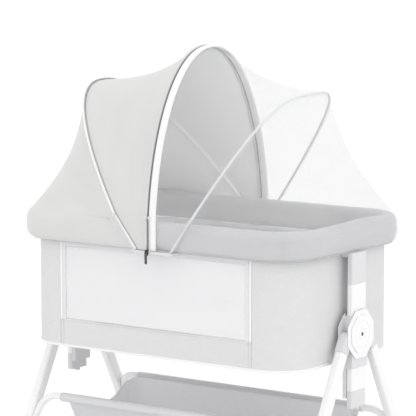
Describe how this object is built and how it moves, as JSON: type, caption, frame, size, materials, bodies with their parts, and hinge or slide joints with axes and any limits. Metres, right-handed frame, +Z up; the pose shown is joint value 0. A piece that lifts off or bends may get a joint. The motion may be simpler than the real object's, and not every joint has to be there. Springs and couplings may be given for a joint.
{
  "type": "bassinet on stand",
  "caption": "Padded fabric cot with mesh side windows on height posts, splayed folding legs, storage basket and a zip-open shade and net canopy on wire hoops.",
  "frame": {"origin": "on the floor under the middle of the cot", "axes": "+Z up, +X along the cot to the net end (the shade end is -X), +Y to the back"},
  "size_m": [0.9866, 0.655, 1.2317],
  "materials": {
    "heather_fabric": "heathered plain weave",
    "rim_fabric": "soft brushed weave over padding",
    "floor_fabric": "coated plain weave",
    "mesh_fabric": "open knitted mesh",
    "shade_fabric": "smooth satin weave",
    "net_fabric": "sheer mosquito net",
    "basket_fabric": "plain weave",
    "mattress_fabric": "knitted cover",
    "white_paint": "satin white powder coat",
    "white_plastic": "satin white",
    "grey_plastic": "fine matt moulding",
    "board": "fibreboard",
    "steel": "zinc plated",
    "hoop_wire": "light wire in a fabric sleeve",
    "dark_metal": "dark nickel",
    "rubber": "moulded"
  },
  "bodies": {
    "hubs": {"height_rack_left": "grey_plastic", "height_rack_right": "grey_plastic", "hub_cover_left": "white_plastic", "hub_cover_right": "white_plastic", "hub_front_plate_left": "white_plastic", "hub_front_plate_right": "white_plastic", "hub_housing_left": "grey_plastic", "hub_housing_right": "grey_plastic", "hub_screw_left": "dark_metal", "hub_screw_right": "dark_metal", "basket": "basket_fabric"},
    "front_legs": {"front_foot_left": "rubber", "front_foot_right": "rubber", "front_leg_left": "white_paint", "front_leg_right": "white_paint", "front_socket_left": "grey_plastic", "front_socket_right": "grey_plastic", "front_stretcher": "white_paint"},
    "rear_legs": {"rear_foot_left": "rubber", "rear_foot_right": "rubber", "rear_leg_left": "white_paint", "rear_leg_right": "white_paint", "rear_socket_left": "grey_plastic", "rear_socket_right": "grey_plastic", "rear_stretcher": "white_paint"},
    "left_bow": {"left_hoop": "hoop_wire"},
    "shade_bow": {"shade_hoop": "hoop_wire", "shade_top": "shade_fabric"},
    "net_bow": {"net_hoop": "hoop_wire", "net_top": "net_fabric"},
    "right_bow": {"right_hoop": "hoop_wire"},
    "button_left": {"release_button_left": "grey_plastic"},
    "button_right": {"release_button_right": "grey_plastic"},
    "bolt_left": {"lock_bolt_left": "steel"},
    "bolt_right": {"lock_bolt_right": "steel"},
    "pull": {"zip_pull": "dark_metal"},
    "bed": {"back_panel": "heather_fabric", "back_window": "mesh_fabric", "base_board": "board", "base_frame": "steel", "end_panel_left": "heather_fabric", "end_panel_right": "heather_fabric", "floor_panel": "floor_fabric", "front_panel": "heather_fabric", "front_window": "mesh_fabric", "hoop_bracket_back": "grey_plastic", "hoop_bracket_front": "grey_plastic", "mattress": "mattress_fabric", "net_side": "net_fabric", "post_cap_left": "grey_plastic", "post_cap_right": "grey_plastic", "post_left": "white_paint", "post_right": "white_paint", "rim_cover": "rim_fabric", "shade_side": "shade_fabric", "top_bracket_left": "grey_plastic", "top_bracket_right": "grey_plastic", "top_frame": "steel", "zip_slider": "dark_metal"}
  },
  "joints": [
    {"name": "front_leg_fold", "type": "hinge", "parent": "hubs", "child": "front_legs", "pos_m": [0, -0.0523, 0.477], "axis": [1, 0, 0], "range_deg": [0, 23], "deforming": ["basket"]},
    {"name": "rear_leg_fold", "type": "hinge", "parent": "hubs", "child": "rear_legs", "pos_m": [0, 0.0523, 0.477], "axis": [1, 0, 0], "range_deg": [-23, 0]},
    {"name": "bed_height", "type": "slide", "parent": "hubs", "child": "bed", "axis": [0, 0, 1], "range_m": [-0.05, 0.05]},
    {"name": "shade_hoop_fold", "type": "hinge", "parent": "bed", "child": "shade_bow", "pos_m": [-0.02013, 0, 0.788], "axis": [0.0703, -0.9975, 0], "range_deg": [0, 80], "deforming": ["shade_top"]},
    {"name": "left_hoop_fold", "type": "hinge", "parent": "bed", "child": "left_bow", "pos_m": [-0.11308, 0, 0.788], "axis": [0.0262, -0.9997, 0], "range_deg": [0, 45], "deforming": ["shade_side"]},
    {"name": "net_hoop_fold", "type": "hinge", "parent": "bed", "child": "net_bow", "pos_m": [-0.00813, 0, 0.788], "axis": [-0.0703, 0.9975, 0], "range_deg": [0, 80], "deforming": ["net_top"]},
    {"name": "right_hoop_fold", "type": "hinge", "parent": "bed", "child": "right_bow", "pos_m": [0.0892, 0, 0.788], "axis": [-0.1775, 0.9841, 0], "range_deg": [0, 48], "deforming": ["net_side"]},
    {"name": "release_left", "type": "slide", "parent": "bed", "child": "button_left", "axis": [0, 0, 1], "range_m": [0, 0.005], "stiffness_N_per_m": 300, "springref_m": -0.01},
    {"name": "release_right", "type": "slide", "parent": "bed", "child": "button_right", "axis": [0, 0, 1], "range_m": [0, 0.005], "stiffness_N_per_m": 300, "springref_m": -0.01},
    {"name": "bolt_left_slide", "type": "slide", "parent": "bed", "child": "bolt_left", "axis": [-1, 0, 0], "range_m": [0, 0.008]},
    {"name": "bolt_right_slide", "type": "slide", "parent": "bed", "child": "bolt_right", "axis": [1, 0, 0], "range_m": [0, 0.008]},
    {"name": "pull_swing", "type": "hinge", "parent": "bed", "child": "pull", "pos_m": [0.008, -0.3185, 0.698], "axis": [-1, 0, 0], "range_deg": [0, 100]}
  ],
  "couplings": [
    {"joint": "rear_leg_fold", "follows": "front_leg_fold", "ratio": -1},
    {"joint": "left_hoop_fold", "follows": "shade_hoop_fold", "ratio": 0.5625},
    {"joint": "right_hoop_fold", "follows": "net_hoop_fold", "ratio": 0.6},
    {"joint": "bolt_left_slide", "follows": "release_left", "ratio": 1.6},
    {"joint": "bolt_right_slide", "follows": "release_right", "ratio": 1.6}
  ]
}
